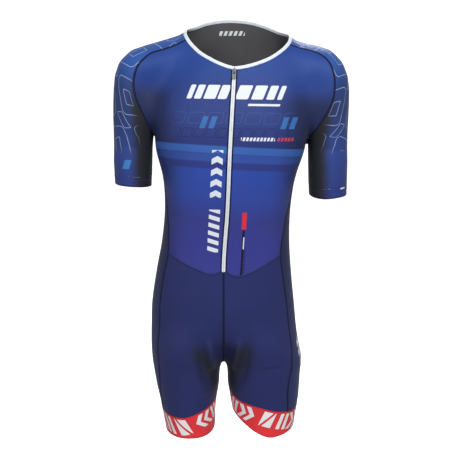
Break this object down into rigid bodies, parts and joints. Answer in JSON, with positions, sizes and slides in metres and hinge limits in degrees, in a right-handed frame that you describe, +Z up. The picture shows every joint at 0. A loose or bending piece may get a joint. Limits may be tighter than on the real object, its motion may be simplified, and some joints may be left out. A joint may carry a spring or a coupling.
{
  "type": "triathlon suit",
  "caption": "Short-sleeved triathlon suit, worn and empty, with raglan sleeves, bound neck, front zip with a turning pull tab, side panels and banded shorts legs.",
  "frame": {"origin": "where the wearer's shoulders hold it: the middle of the neck opening, level with the points where the shoulders meet it", "axes": "+Z up along the standing wearer; the wearer faces -Y; +X is the wearer's left"},
  "size_m": [0.4924, 0.2418, 0.8875],
  "materials": {
    "blue_cloth": "satin stretch knit, dyed blue",
    "navy_cloth": "satin stretch knit, dyed navy",
    "red_band": "smooth elastic, dyed red",
    "white_trim": "matte folded binding and woven zip tape, white",
    "zip_metal": "satin grey"
  },
  "bodies": {
    "suit": {"front_right": "blue_cloth", "front_left": "blue_cloth", "back_panel": "blue_cloth", "side_right": "navy_cloth", "side_left": "navy_cloth", "short_front_right": "navy_cloth", "short_front_left": "navy_cloth", "short_back_right": "navy_cloth", "short_back_left": "navy_cloth", "sleeve_right": "blue_cloth", "sleeve_left": "blue_cloth", "cuff_right": "blue_cloth", "cuff_left": "blue_cloth", "leg_band_right": "red_band", "leg_band_left": "red_band", "neck_binding": "white_trim", "zip_tape": "white_trim", "zip_slider": "zip_metal"},
    "pull": {"zip_pull": "zip_metal"}
  },
  "joints": [
    {"name": "pull_turn", "type": "hinge", "parent": "suit", "child": "pull", "pos_m": [-0.00943, -0.09605, -0.0662], "axis": [-0.9987, 0.0224, 0.0454], "range_deg": [0, 150]}
  ]
}
